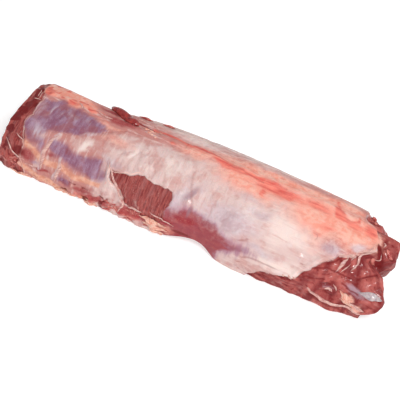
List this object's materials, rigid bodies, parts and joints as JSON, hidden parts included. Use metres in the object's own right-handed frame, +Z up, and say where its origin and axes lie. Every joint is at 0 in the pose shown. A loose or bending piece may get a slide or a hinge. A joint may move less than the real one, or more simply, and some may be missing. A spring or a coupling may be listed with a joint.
{
  "type": "roe deer saddle",
  "caption": "Raw bone-in roe deer saddle lying spine up: both loins on the backbone under torn pale silverskin, with short sawn ribs.",
  "frame": {"origin": "middle of the footprint, at the height of the board it lies on", "axes": "+X along the backbone from the rib end to the rump end, -Y towards the side with the torn cover, +Z up"},
  "size_m": [0.432, 0.1344, 0.0715],
  "materials": {
    "flesh": "moist raw meat under pale silverskin",
    "bone": "sawn raw bone"
  },
  "bodies": {
    "root": {"meat": "flesh", "backbone": "bone", "rib_near_1": "bone", "rib_near_2": "bone", "rib_near_3": "bone", "rib_near_4": "bone", "rib_near_5": "bone", "rib_near_6": "bone", "rib_near_7": "bone", "rib_near_8": "bone", "rib_near_9": "bone", "rib_near_10": "bone", "rib_far_1": "bone", "rib_far_2": "bone", "rib_far_3": "bone", "rib_far_4": "bone", "rib_far_5": "bone", "rib_far_6": "bone", "rib_far_7": "bone", "rib_far_8": "bone", "rib_far_9": "bone", "rib_far_10": "bone"}
  },
  "joints": []
}
